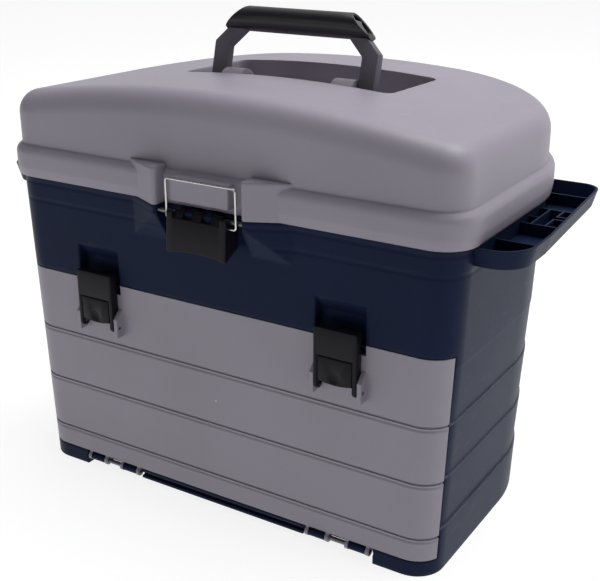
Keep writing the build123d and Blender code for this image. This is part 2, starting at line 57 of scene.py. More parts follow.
# Reach of the finishes' small features, in metres
EDGE_REACH = 1.6 * MM
LIP_REACH = 3.2 * MM
# Width of the painted highlight along the side ledges
LEDGE_HIGHLIGHT_REACH = 2.3 * MM
GATE_RADIUS = 1.1 * MM
GRAIN_DEPTH = 0.25 * MM

# Heights of the moulded lines, in millimetres
RIM_BANDS = (256.0, 272.0)
SIDE_LEDGES = (42.0, 88.5, 135.0)
DOOR_GROOVES = (33.0, 83.0, 133.0)

# The bin floor's front edge lies this far behind the body's front, in millimetres
BIN_FLOOR_BEHIND = 3.4

# Knuckles of the main latch's lever, in millimetres
KNUCKLE_PLACES = (-18.5, 0.0, 18.5)
KNUCKLE_HALF = 4.5
KNUCKLE_RADIUS = 3.6

# Soft lights: name, place, size and power
LAMP_AIM = (0.0, 0.0, 0.2)
SOFTBOXES = (
    ("top_softbox", (0.40, 0.55, 2.2), 2.2, 50.0),
    ("right_softbox", (2.3, 0.7, 0.9), 1.6, 4.5),
    ("front_softbox", (-1.2, -2.4, 1.2), 1.2, 3.0),
)
FLOOR_GLOW = 0.85

# The room is dim in front of the chest and pale behind it
ROOM_TURN = {"From Min": -0.35, "From Max": 0.75, "To Min": 0.10, "To Max": 0.62}


# Shader expressions
class Value:
    """A number socket: arithmetic on it adds Math nodes."""

    def __init__(self, finish, socket):
        self.finish = finish
        self.socket = socket

    def math(self, operation, *values, clamp=False):
        settings = {"operation": operation, "use_clamp": clamp}
        return self.finish.node("ShaderNodeMath", settings, dict(enumerate(values)))

    def __add__(self, other):
        return self.math("ADD", self, other)

    __radd__ = __add__

    def __sub__(self, other):
        return self.math("SUBTRACT", self, other)

    def __rsub__(self, other):
        return self.math("SUBTRACT", other, self)

    def __mul__(self, other):
        return self.math("MULTIPLY", self, other)

    __rmul__ = __mul__

    def __truediv__(self, other):
        return self.math("DIVIDE", self, other)

    def __rtruediv__(self, other):
        return self.math("DIVIDE", other, self)

    def __abs__(self):
        return self.math("ABSOLUTE", self)

    def clamp(self):
        return self.math("ADD", self, 0.0, clamp=True)

    def step_up(self, low, high):
        sockets = {"Value": self, "From Min": low, "From Max": high}
        return self.finish.node("ShaderNodeMapRange", {"interpolation_type": "SMOOTHSTEP"}, sockets)


class Finish:
    """One procedural material and the nodes that make it."""

    def __init__(self, name):
        self.material = bpy.data.materials.new(name)
        self.material.use_nodes = True
        self.tree = self.material.node_tree
        self.tree.nodes.clear()
        self.coords = self.node("ShaderNodeTexCoord", out="Object")

    def node(self, kind, settings=None, sockets=None, out=0):
        made = self.tree.nodes.new(kind)
        for key, value in (settings or {}).items():
            if key == "stops":
                self.stops(made.color_ramp, value)
            else:
                setattr(made, key, value)
        for key, value in (sockets or {}).items():
            if isinstance(value, Value):
                self.tree.links.new(value.socket, made.inputs[key])
            else:
                made.inputs[key].default_value = value
        return Value(self, made.outputs[out])

    def stops(self, ramp, stops):
        while len(ramp.elements) < len(stops):
            ramp.elements.new(1.0)
        for element, (place, colour) in zip(ramp.elements, stops):
            element.position = place
            element.color = colour

    def noise(self, scale, detail=2.0, stretch=None):
        where = self.coords
        if stretch:
            where = self.node("ShaderNodeMapping", None, {"Vector": where, "Scale": stretch})
        return self.node("ShaderNodeTexNoise", None, {"Vector": where, "Scale": scale, "Detail": detail})

    def pebbles(self, scale):
        settings = {"feature": "SMOOTH_F1"}
        return self.node("ShaderNodeTexVoronoi", settings, {"Vector": self.coords, "Scale": scale})

    def mix(self, share, first, second, blend="MIX"):
        settings = {"data_type": "RGBA", "blend_type": blend}
        return self.node("ShaderNodeMix", settings, {0: share, 6: first, 7: second}, out=2)

    def round_normal(self, radius):
        return self.node("ShaderNodeBevel", {"samples": 4}, {"Radius": radius})

    def edges(self, radius):
        soft = self.round_normal(radius)
        flat = self.node("ShaderNodeNewGeometry", out="True Normal")
        settings = {"operation": "DOT_PRODUCT"}
        return 1 - self.node("ShaderNodeVectorMath", settings, {0: soft, 1: flat}, out="Value")

    def bump(self, height, strength, distance, normal=None):
        sockets = {"Height": height, "Strength": strength, "Distance": distance}
        if normal:
            sockets["Normal"] = normal
        return self.node("ShaderNodeBump", None, sockets)

    def height(self, axis):
        return self.node("ShaderNodeSeparateXYZ", None, {"Vector": self.coords}, out=axis)

    def spot(self, place, radius):
        settings = {"operation": "DISTANCE"}
        away = self.node("ShaderNodeVectorMath", settings, {0: self.coords, 1: place}, out="Value")
        return 1 - away.step_up(radius * 0.6, radius)

    def surface(self, sockets):
        shader = self.node("ShaderNodeBsdfPrincipled", None, sockets)
        output = self.tree.nodes.new("ShaderNodeOutputMaterial")
        self.tree.links.new(shader.socket, output.inputs["Surface"])
        return self.material


def shade(colour, factor):
    return tuple(min(1.0, channel * factor) for channel in colour[:3]) + (1.0,)


def moulded_plastic(
    name, colour, rough, grain, relief, edge_wear_and_highlight, gloss=0.5, blotch=0.05, round_edge=1.0 * MM,
    gate=None, lips=(), lip=0.9 * MM, highlit_ledge_heights=(), ledge_highlight_colour=None, gloss_tint=(1.0, 1.0, 1.0, 1.0)
):
    finish = Finish(name)
    cloud = finish.noise(9.0, 3.0)
    fine = finish.noise(grain, 4.0)
    cells = finish.pebbles(grain * 0.8)
    # Patches that vary the edge wear, the painted highlights and the roughness
    scuff_and_highlight_patches = finish.noise(60.0, 6.0, (1.0, 1.0, 3.0)).step_up(0.56, 0.74)
    edge = (finish.edges(EDGE_REACH) * 2.2).clamp() * (0.45 + 0.55 * scuff_and_highlight_patches)
    dark = shade(colour, 1.0 - blotch)
    light = shade(colour, 1.0 + blotch)
    tone = finish.mix(cloud.step_up(0.3, 0.7), dark, light)
    tone = finish.mix(fine * 0.25, tone, shade(colour, 1.12))
    # Lighter edges: partly edge wear, partly painted highlight (strongest on the navy body)
    tone = finish.mix(edge * edge_wear_and_highlight, tone, shade(colour, 1.9))
    height = cells * 0.6 + fine * 0.4
    normal = finish.round_normal(round_edge)
    if lips:
        up = finish.height("Z")
        valley = sum((abs(up - place) / LIP_REACH).step_up(0.0, 1.0) for place in lips)
        normal = finish.bump(valley, 1.0, lip, normal)
    # Painted highlight: a lighter colour along the side ledges, where their lips catch the light
    if highlit_ledge_heights:
        up = finish.height("Z")
        painted_highlight_mask = sum(1 - (abs(up - place) / LEDGE_HIGHLIGHT_REACH).step_up(0.2, 1.0) for place in highlit_ledge_heights)
        painted_highlight_mask *= (finish.edges(LEDGE_HIGHLIGHT_REACH) * 9.0).clamp()
        tone = finish.mix(painted_highlight_mask * (0.7 + 0.3 * scuff_and_highlight_patches), tone, ledge_highlight_colour)
    if gate:
        mark = finish.spot(gate, GATE_RADIUS)
        tone = finish.mix(mark * 0.6, tone, shade(colour, 3.2))
    normal = finish.bump(height, relief, GRAIN_DEPTH, normal)
    roughness = rough + 0.10 * (cloud - 0.5) + 0.08 * (fine - 0.5) - 0.05 * scuff_and_highlight_patches
    sockets = {"Base Color": tone, "Roughness": roughness, "Normal": normal, "Specular IOR Level": gloss}
    sockets["Specular Tint"] = gloss_tint
    return finish.surface(sockets)


def brushed_wire(name, colour):
    finish = Finish(name)
    streak = finish.noise(900.0, 3.0, (1.0, 1.0, 0.08))
    tarnish = finish.noise(45.0, 4.0).step_up(0.4, 0.75)
    tone = finish.mix(tarnish * 0.5, colour, shade(colour, 0.72))
    roughness = 0.18 + 0.16 * streak + 0.10 * tarnish
    normal = finish.bump(streak, 0.15, 0.05 * MM)
    sockets = {"Base Color": tone, "Metallic": 1.0, "Roughness": roughness, "Normal": normal}
    return finish.surface(sockets)


def cloudy_plastic(name, colour, rough):
    finish = Finish(name)
    cloud = finish.noise(22.0, 3.0)
    fine = finish.noise(900.0, 2.0)
    tone = finish.mix(cloud.step_up(0.3, 0.7), shade(colour, 0.93), shade(colour, 1.05))
    normal = finish.bump(fine, 0.12, 0.1 * MM, finish.round_normal(0.6 * MM))
    roughness = rough + 0.1 * (cloud - 0.5)
    sockets = {"Base Color": tone, "Roughness": roughness, "Normal": normal, "Transmission Weight": 0.25}
    return finish.surface(sockets)


def floor_paper(name, colour, glow):
    finish = Finish(name)
    fibre = finish.noise(180.0, 3.0)
    tone = finish.mix(fibre, shade(colour, 0.985), colour)
    sockets = {"Base Color": tone, "Roughness": 0.9 + 0.05 * fibre}
    sockets.update({"Emission Color": (1.0, 1.0, 1.0, 1.0), "Emission Strength": glow})
    sockets["Specular IOR Level"] = 0.1
    return finish.surface(sockets)


# Hand modelling
def mm(*values):
    return tuple(value * MM for value in values)


class Piece:
    """A mesh that is modelled by hand, in metres and in its place."""

    def __init__(self, name, add, **sizes):
        bpy.ops.object.select_all(action="DESELECT")
        add(**sizes)
        self.object = bpy.context.object
        self.object.name = name
        self.settle()

    def take(self):
        bpy.ops.object.select_all(action="DESELECT")
        self.object.select_set(True)
        bpy.context.view_layer.objects.active = self.object

    def settle(self):
        bpy.ops.object.transform_apply(location=True, rotation=True, scale=True)

    def edit(self):
        bpy.ops.object.mode_set(mode="EDIT")

    def rest(self):
        bpy.ops.object.mode_set(mode="OBJECT")

    def pick(self, kind, test):
        bpy.ops.mesh.select_mode(type={"verts": "VERT", "faces": "FACE"}[kind])
        bpy.ops.mesh.select_all(action="DESELECT")
        mesh = bmesh.from_edit_mesh(self.object.data)
        chosen = [item for item in getattr(mesh, kind) if test(item)]
        if not chosen:
            raise RuntimeError(self.object.name + ": nothing to select")
        for item in chosen:
            item.select_set(True)
        mesh.select_flush(True)
        bmesh.update_edit_mesh(self.object.data)

    def faces(self, test):
        self.pick("faces", lambda face: test(face.calc_center_median() / MM, face.normal))

    def verts(self, test):
        self.pick("verts", lambda vert: test(vert.co / MM))

    def cut(self, place, normal, drop=False):
        bpy.ops.mesh.select_all(action="SELECT")
        bpy.ops.mesh.bisect(plane_co=mm(*place), plane_no=normal, clear_outer=drop, use_fill=False)

    def cuts(self, axis, places):
        normal = [float(k == axis) for k in range(3)]
        for place in places:
            self.cut([place * along for along in normal], normal)

    def pull(self, *shift):
        bpy.ops.mesh.extrude_region_move(TRANSFORM_OT_translate={"value": mm(*shift)})

    def shift(self, *shift):
        bpy.ops.transform.translate(value=mm(*shift))

    def fix(self, kind, **settings):
        modifier = self.object.modifiers.new(kind.lower(), kind)
        for key, value in settings.items():
            setattr(modifier, key, value)
        bpy.ops.object.modifier_apply(modifier=modifier.name)

    def soften(self, width, segments=2, angle=30.0):
        self.fix("BEVEL", width=width * MM, segments=segments, limit_method="ANGLE",
                 angle_limit=math.radians(angle), harden_normals=False)

    def carve(self, cutter):
        self.fix("BOOLEAN", object=cutter.object, operation="DIFFERENCE", solver="EXACT")
        bpy.data.objects.remove(cutter.object)

    def join(self, others):
        self.take()
        for other in others:
            other.object.select_set(True)
        bpy.ops.object.join()

    def close(self):
        self.edit()
        bpy.ops.mesh.select_all(action="SELECT")
        bpy.ops.mesh.remove_doubles(threshold=0.01 * MM)
        bpy.ops.mesh.normals_make_consistent(inside=False)
        self.rest()

    def copy(self, name, x_shift):
        self.take()
        bpy.ops.object.duplicate(linked=False)
        twin = Piece.__new__(Piece)
        twin.object = bpy.context.object
        twin.object.name = name
        twin.object.location.x += x_shift * MM
        twin.settle()
        return twin

    def turn(self, degrees, place):
        spin = Matrix.Rotation(math.radians(degrees), 4, "X")
        centre = Matrix.Translation(mm(*place))
        self.object.matrix_world = centre @ spin @ centre.inverted()
        self.settle()

    def hand_over(self, body, node, slot, material, angle=35.0):
        self.take()
        bpy.ops.object.shade_smooth_by_angle(angle=math.radians(angle))
        self.object.data.materials.clear()
        self.object.data.materials.append(material)
        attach(self.object, body)
        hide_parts(node)


def slab(name, low, high):
    centre = [(a + b) / 2 for a, b in zip(low, high)]
    size = [b - a for a, b in zip(low, high)]
    return Piece(name, bpy.ops.mesh.primitive_cube_add, size=1.0, location=mm(*centre), scale=mm(*size))


def barrel(name, x_low, x_high, y, z, radius, sides=32, fill="NGON"):
    return Piece(
        name, bpy.ops.mesh.primitive_cylinder_add, vertices=sides, radius=radius * MM,
        depth=(x_high - x_low) * MM, end_fill_type=fill, location=mm((x_low + x_high) / 2, y, z),
        rotation=(0.0, math.pi / 2, 0.0)
    )


# Settings that a user would change
def tint(label, text, default):
    return bpy.props.FloatVectorProperty(
        name=label, description=text, default=default, size=4, min=0.0, max=1.0, subtype="COLOR"
    )


def length(label, text, default):
    return bpy.props.FloatProperty(name=label, description=text, default=default, unit="LENGTH")


class ChestFinishes(bpy.types.PropertyGroup):
    """Colours of the plastics and metals"""

    navy: tint("Navy", "Plastic of the body and trays", (0.009, 0.015, 0.041, 1.0))
    lid_grey: tint("Lid grey", "Plastic of the lid", (0.270, 0.246, 0.300, 1.0))
    door_grey: tint("Door grey", "Plastic of the front door", (0.262, 0.239, 0.290, 1.0))
    black: tint("Black", "Plastic of the grip and latches", (0.0075, 0.0068, 0.0100, 1.0))
    # Colour of the painted highlight along the side ledges of the body
    ledge_highlight_colour: tint("Ridge", "Rubbed ledges on the sides of the body", (0.30, 0.29, 0.38, 1.0))
    leg: tint("Leg", "Matt plastic of the handle's legs", (0.128, 0.116, 0.140, 1.0))
    wire: tint("Wire", "Stainless wire of the main latch", (0.62, 0.61, 0.60, 1.0))
    pin: tint("Pin", "Steel of the hinge pins", (0.16, 0.16, 0.17, 1.0))
    drawer: tint("Drawer", "Cloudy plastic of the drawers", (0.42, 0.44, 0.48, 1.0))
    divider: tint("Divider", "Cloudy plastic of the dividers", (0.55, 0.57, 0.60, 1.0))
    floor: tint("Floor", "Paper under the chest", (0.25, 0.25, 0.25, 1.0))


class ChestSizes(bpy.types.PropertyGroup):
    """Sizes of the hand-modelled fittings"""

    grip_radius: length("Grip radius", "Outside of the handle's tube", 10.8 * MM)
    grip_wall: length("Grip wall", "Wall of the handle's tube", 2.4 * MM)
    grip_half: length("Grip half length", "Middle of the tube to its long lower end", 71.5 * MM)
    grip_slant: length("Grip slant", "How far the tube's cut end leans", 17.0 * MM)
    grip_rise: length("Grip rise", "Pivot to the middle of the grip", 61.0 * MM)
    handle_lean: bpy.props.FloatProperty(
        name="Handle lean", description="Lean of the handle at rest, in degrees", default=15.0
    )
    leg_outer: length("Leg outside", "Middle to the outside of a handle leg", 82.5 * MM)
    leg_width: length("Leg width", "Width of a handle leg", 16.5 * MM)
    leg_thick: length("Leg thickness", "Thickness of a handle leg", 11.0 * MM)
    shoulder_below: length("Shoulder", "Grip's middle to a leg's outer shoulder", 21.0 * MM)
    inner_shoulder_below: length("Inner shoulder", "Grip's middle to a leg's inner shoulder", 25.0 * MM)
    leg_rim: length("Leg rim", "Rim round the sunk panel of a leg", 2.0 * MM)
    leg_sink: length("Leg sink", "Depth of the sunk panel of a leg", 0.8 * MM)
    leg_end: length("Leg end", "Radius of a leg's round end", 7.0 * MM)
    bar_height: length("Bar height", "Height of the bar inside the grip", 9.0 * MM)
    lever_half: length("Lever half width", "Half of the main latch's lever", 29.0 * MM)
    lever_low: length("Lever low edge", "Height of the lever's free edge", 242.0 * MM)
    lever_high: length("Lever high edge", "Height of the lever's top", 275.5 * MM)
    lever_skin: length("Lever skin", "Thickness of the lever's walls", 3.0 * MM)
    lever_front: length("Lever reach", "Lever's face in front of the body", 18.0 * MM)
    lever_flare: length("Lever flare", "How far the lever's free edge stands out", 2.0 * MM)
    lever_arch: length("Lever arch", "Rise of the arch in the lever's free edge", 2.5 * MM)
    lever_pin_out: length("Lever pin reach", "Lever's pin in front of the body", 11.0 * MM)
    lever_pin_height: length("Lever pin height", "Height of the lever's pin", 273.0 * MM)
    cheek_low: length("Cheek low corner", "Height of a cheek's rear low corner", 250.0 * MM)
    window_half: length("Window half width", "Half of the gap in the lever's top", 23.0 * MM)
    window_low: length("Window sill", "Height of the gap's sill", 270.5 * MM)
    wire_radius: length("Wire radius", "Radius of the latch wire", 0.9 * MM)
    wire_bend: length("Wire bend", "Radius of the wire's bends", 2.4 * MM)
    latch_at: length("Latch place", "Middle of the chest to a door latch", 121.5 * MM)
    latch_half: length("Latch half width", "Half of a door latch", 19.0 * MM)
    latch_low: length("Latch low end", "Height of a door latch's legs", 149.0 * MM)
    latch_high: length("Latch high end", "Height of a door latch's top", 202.0 * MM)
    latch_front: length("Latch reach", "Door latch's face in front of the body", 8.7 * MM)
    latch_leg: length("Latch leg", "Length of a door latch's legs", 8.5 * MM)
    latch_gap: length("Latch gap", "Half of the gap between the legs", 15.4 * MM)
    panel_half: length("Panel half width", "Half of the latch's grooved panel", 16.0 * MM)
    panel_top: length("Panel top", "Height of the grooved panel's top", 179.0 * MM)
    panel_groove: length("Panel groove", "Width of the groove round the panel", 1.2 * MM)
    hook_height: length("Hook height", "Height of the hook behind a latch's top", 7.0 * MM)
    hook_in: length("Hook reach", "How far the hook reaches back", 4.4 * MM)
    dimple_height: length("Dimple height", "Height of the thumb dimple", 162.5 * MM)
    dimple_radius: length("Dimple radius", "Radius of the ball that makes the dimple", 14.0 * MM)
    dimple_sink: length("Dimple sink", "Depth of the thumb dimple", 1.2 * MM)


class ChestStage(bpy.types.PropertyGroup):
    """Camera and studio"""

    lens_pixels: bpy.props.FloatProperty(
        name="Lens", description="Focal length in pixels of the picture", default=1077.144
    )
    azimuth: bpy.props.FloatProperty(
        name="Azimuth", description="Camera's turn about the chest", default=math.radians(32.162),
        subtype="ANGLE"
    )
    elevation: bpy.props.FloatProperty(
        name="Elevation", description="Camera's height angle", default=math.radians(21.060), subtype="ANGLE"
    )
    roll: bpy.props.FloatProperty(
        name="Roll", description="Camera's lean", default=math.radians(-0.240), subtype="ANGLE"
    )
    eye: bpy.props.FloatVectorProperty(
        name="Eye", description="Camera's place", default=(0.49786, -0.79154, 0.52294),
        subtype="TRANSLATION"
    )
    floor_size: length("Floor size", "Side of the paper under the chest", 40.0)


finishes = {}


def front_plane():
    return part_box("bin_floor")[0][1] / MM - BIN_FLOOR_BEHIND


def handle_pivot():
    low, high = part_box("handle_pins")
    return (low[1] + high[1]) / 2 / MM, (low[2] + high[2]) / 2 / MM


def dress(nodes, material):
    for name in nodes:
        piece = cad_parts[name]
        piece.data.materials.clear()
        piece.data.materials.append(material)


class CHEST_OT_shells(bpy.types.Operator):
    """Finish the moulded body, trays, lid and door"""

    bl_idname = "chest.shells"
    bl_label = "Body, lid and door"

    def execute(self, context):
        look = context.scene.chest_finishes
        # The navy body gets a painted highlight along its side ledges
        navy = moulded_plastic(
            "navy_plastic", look.navy, 0.40, 900.0, 0.22, 0.70, 0.07, round_edge=4.0 * MM,
            lips=mm(*RIM_BANDS), lip=0.35 * MM, highlit_ledge_heights=mm(*SIDE_LEDGES), ledge_highlight_colour=look.ledge_highlight_colour,
            gloss_tint=(0.78, 0.80, 1.0, 1.0)
        )
        dress(("body_shell",), navy)
        thin = moulded_plastic(
            "thin_navy_plastic", look.navy, 0.42, 900.0, 0.22, 0.35, 0.06, round_edge=0.7 * MM
        )
        pairs = [name + side for name in ("drawer_rail_", "side_tray_") for side in ("right", "left")]
        dress(["bin_floor"] + pairs, thin)
        lid = moulded_plastic(
            "lid_grey_plastic", look.lid_grey, 0.46, 1300.0, 0.20, 0.12, round_edge=3.5 * MM
        )
        dress(("lid_shell",), lid)
        door = moulded_plastic(
            "door_grey_plastic", look.door_grey, 0.44, 1500.0, 0.12, 0.12, lips=mm(*DOOR_GROOVES),
            gate=mm(0.5, front_plane(), 106.8)
        )
        dress(("front_door",), door)
        return {"FINISHED"}


class CHEST_OT_fittings(bpy.types.Operator):
    """Finish the pins, drawers and dividers"""

    bl_idname = "chest.fittings"
    bl_label = "Pins and drawers"

    def execute(self, context):
        look = context.scene.chest_finishes
        pins = brushed_wire("steel_pins", look.pin)
        dress(("lid_hinge_pins", "handle_pins", "main_latch_pin"), pins)
        dress(("door_hinge_pins", "door_latch_pins"), pins)
        levels = ("top", "middle", "bottom")
        drawer = cloudy_plastic("drawer_plastic", look.drawer, 0.35)
        dress(["drawer_" + level for level in levels], drawer)
        divider = cloudy_plastic("divider_plastic", look.divider, 0.4)
        dress(["dividers_" + level for level in levels], divider)
        finishes["black"] = moulded_plastic("black_plastic", look.black, 0.36, 1400.0, 0.15, 0.30, 0.13)
        finishes["grip"] = moulded_plastic("grip_black_plastic", look.black, 0.34, 1400.0, 0.12, 0.25, 0.5)
        finishes["leg"] = moulded_plastic("matt_black_plastic", look.leg, 0.55, 1100.0, 0.30, 0.35, 0.2)
        gate = mm(3.4, front_plane() - 19.0, 252.9)
        finishes["lever"] = moulded_plastic(
            "lever_black_plastic", look.black, 0.36, 1400.0, 0.15, 0.30, 0.13, gate=gate
        )
        finishes["wire"] = brushed_wire("stainless_wire", look.wire)
        return {"FINISHED"}


class CHEST_OT_grip(bpy.types.Operator):
    """Model the tube that the hand holds"""

    bl_idname = "chest.grip"
    bl_label = "Handle grip"

    def execute(self, context):
        size = context.scene.chest_sizes
        pivot_y, pivot_z = handle_pivot()
        radius, half, slant = size.grip_radius / MM, size.grip_half / MM, size.grip_slant / MM
        height = pivot_z + size.grip_rise / MM
        tube = barrel("handle_grip_tube", -half, half, pivot_y, height, radius, 96, "NOTHING")
        tube.edit()
        for side in (-1.0, 1.0):
            slope = (side * 2.0 * radius, 0.0, slant)
            tube.cut((side * (half - slant / 2), pivot_y, height), slope, True)
        tube.cuts(0, [-40.0, -20.0, 0.0, 20.0, 40.0])
        tube.rest()
        tube.close()
        tube.fix("SOLIDIFY", thickness=size.grip_wall, offset=-1.0)
        tube.soften(0.7, 3)
        tube.turn(-size.handle_lean, (0.0, pivot_y, pivot_z))
        tube.hand_over("handle", "handle_grip", "black_plastic", finishes["grip"])
        return {"FINISHED"}


class CHEST_OT_handle_frame(bpy.types.Operator):
    """Model the two flat legs and the bar inside the grip"""

    bl_idname = "chest.handle_frame"
    bl_label = "Handle legs"

    def execute(self, context):
        size = context.scene.chest_sizes
        pivot_y, pivot_z = handle_pivot()
        outer, half, bar = size.leg_outer / MM, size.leg_thick / MM / 2, size.bar_height / MM / 2
        inner = outer - size.leg_width / MM
        grip_z = pivot_z + size.grip_rise / MM
        below, inner_below = size.shoulder_below / MM, size.inner_shoulder_below / MM
        elbow = grip_z - inner_below
        run, inner_run = below + bar, inner_below - bar
        leg = slab("handle_legs", (inner, pivot_y - half, pivot_z), (outer, pivot_y + half, elbow))
        leg.edit()
        leg.verts(lambda at: at.z > elbow - 1.0 and at.x > inner + 1.0)
        leg.shift(0.0, 0.0, inner_below - below)
        leg.faces(lambda at, normal: normal.z > 0.9)
        leg.pull(-inner_run, 0.0, inner_run)
        leg.verts(lambda at: at.z > grip_z - 2.0 * bar and at.x > inner - inner_run + 2.0)
        leg.shift(inner_run - run, 0.0, run - inner_run)
        leg.faces(lambda at, normal: at.z > grip_z - 1.0 and abs(normal.y) < 0.1 and normal.x < -0.3)
        leg.pull(inner_run - inner, 0.0, 0.0)
        leg.verts(lambda at: at.z > grip_z and at.x < inner - inner_run - 2.0)
        leg.shift(run - outer - inner_run + inner, 0.0, 0.0)
        leg.faces(lambda at, normal: abs(at.x) < 0.05)
        bpy.ops.mesh.delete(type="ONLY_FACE")
        leg.faces(lambda at, normal: abs(normal.y) > 0.9 and at.x > inner - inner_run + 4.0)
        bpy.ops.mesh.inset(thickness=size.leg_rim, depth=-size.leg_sink)
        leg.rest()
        leg.soften(0.8, 3)
        boss = barrel("handle_leg_end", inner, outer, pivot_y, pivot_z, size.leg_end / MM, 40)
        boss.edit()
        boss.faces(lambda place, normal: abs(normal.x) > 0.9)
        bpy.ops.mesh.inset(thickness=1.6 * MM, depth=0.0)
        boss.rest()
        boss.soften(0.7, 3)
        leg.join([boss])
        leg.fix("MIRROR", use_axis=(True, False, False), use_mirror_merge=True, merge_threshold=0.02 * MM)
        leg.close()
        leg.turn(-size.handle_lean, (0.0, pivot_y, pivot_z))
        leg.hand_over("handle", "handle_frame", "black_plastic", finishes["leg"])
        return {"FINISHED"}


class CHEST_OT_lever(bpy.types.Operator):
    """Model the main latch's lever with its cheeks and knuckles"""

    bl_idname = "chest.lever"
    bl_label = "Main latch lever"

    def execute(self, context):
        size = context.scene.chest_sizes
        front = front_plane()
        half, skin = size.lever_half / MM, size.lever_skin / MM
        face = front - size.lever_front / MM
        low, sill, high = size.lever_low / MM, size.window_low / MM, size.lever_high / MM
        gap = size.window_half / MM
        pin_y, pin_z = front - size.lever_pin_out / MM, size.lever_pin_height / MM
        inside = half - skin
        lever = slab("main_latch_lever_moulding", (-half, face, low), (half, face + skin, sill))
        lever.edit()
        lever.verts(lambda place: place.z < low + 1.0)
        lever.shift(0.0, -size.lever_flare / MM, 0.0)
        steps = [inside * k / 6.0 for k in range(-6, 7)]
        lever.cuts(0, steps + [-gap, gap])
        arch = size.lever_arch / MM
        for place in steps[1:-1]:
            lever.verts(lambda at, place=place: at.z < low + 0.5 and abs(at.x - place) < 0.05)
            lever.shift(0.0, 0.0, arch * (1.0 - (place / inside) ** 2))
        lever.faces(lambda at, normal: normal.z > 0.9 and abs(at.x) > gap)
        lever.pull(0.0, 0.0, high - sill)
        lever.faces(lambda at, normal: normal.y > 0.8 and abs(at.x) > inside)
        lever.pull(0.0, front - 1.0 - face - skin, 0.0)
        lever.verts(lambda at: at.y > front - 4.0 and at.z < sill - 1.0)
        lever.shift(0.0, size.lever_flare / MM, size.cheek_low / MM - low)
        lever.verts(lambda at: at.y > front - 2.0 and at.z > high - 1.0)
        lever.shift(0.0, 0.0, pin_z - high)
        lever.rest()
        lever.soften(0.7, 3, 25.0)
        knuckles = []
        for k, place in enumerate(KNUCKLE_PLACES):
            left, right = place - KNUCKLE_HALF, place + KNUCKLE_HALF
            knuckle = barrel("lever_knuckle_%d" % k, left, right, pin_y, pin_z, KNUCKLE_RADIUS, 32)
            knuckle.edit()
            knuckle.faces(lambda at, normal: normal.y < -0.3 and normal.z < 0.3 and abs(normal.x) < 0.1)
            knuckle.pull(0.0, face + skin / 2 - pin_y + 3.0, -3.2)
            knuckle.rest()
            knuckle.soften(0.4, 2, 40.0)
            knuckles.append(knuckle)
        lever.join(knuckles)
        lever.hand_over("latch_lever", "main_latch_lever", "black_plastic", finishes["lever"])
        return {"FINISHED"}


class CHEST_OT_wire(bpy.types.Operator):
    """Bend the stainless wire of the main latch"""

    bl_idname = "chest.wire"
    bl_label = "Main latch wire"

    def execute(self, context):
        size = context.scene.chest_sizes
        low, high = [[value / MM for value in corner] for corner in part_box("main_latch_bail")]
        radius, bend = size.wire_radius / MM, size.wire_bend / MM
        y = (low[1] + high[1]) / 2
        left, right, tuck = low[0] + radius, high[0] - radius, size.lever_half / MM - 4.5
        foot, top = low[2] + radius, high[2] - radius
        wire = Piece(
            "main_latch_wire", bpy.ops.mesh.primitive_circle_add, vertices=20, radius=radius * MM,
            fill_type="NOTHING", location=mm(-tuck, y, foot), rotation=(0.0, math.pi / 2, 0.0)
        )
        wire.edit()
        wire.verts(lambda at: True)
        wire.pull(left + bend + tuck, 0.0, 0.0)
        self.bend(left + bend, y, foot + bend)
        wire.pull(0.0, 0.0, top - foot - 2.0 * bend)
        self.bend(left + bend, y, top - bend)
        for k in range(12):
            wire.pull((right - left - 2.0 * bend) / 12, 0.0, 0.0)
        self.bend(right - bend, y, top - bend)
        wire.pull(0.0, 0.0, foot - top + 2.0 * bend)
        self.bend(right - bend, y, foot + bend)
        wire.pull(tuck - right + bend, 0.0, 0.0)
        bpy.ops.mesh.edge_face_add()
        wire.verts(lambda at: abs(at.x + tuck) < 0.05 and at.z < foot + 2.0 * radius)
        bpy.ops.mesh.edge_face_add()
        wire.rest()
        wire.close()
        wire.soften(0.3, 2, 50.0)
        wire.hand_over("latch_bail", "main_latch_bail", "stainless_wire", finishes["wire"], 60.0)
        return {"FINISHED"}

    def bend(self, x, y, z):
        bpy.ops.mesh.spin(steps=8, angle=math.pi / 2, center=mm(x, y, z), axis=(0.0, -1.0, 0.0))


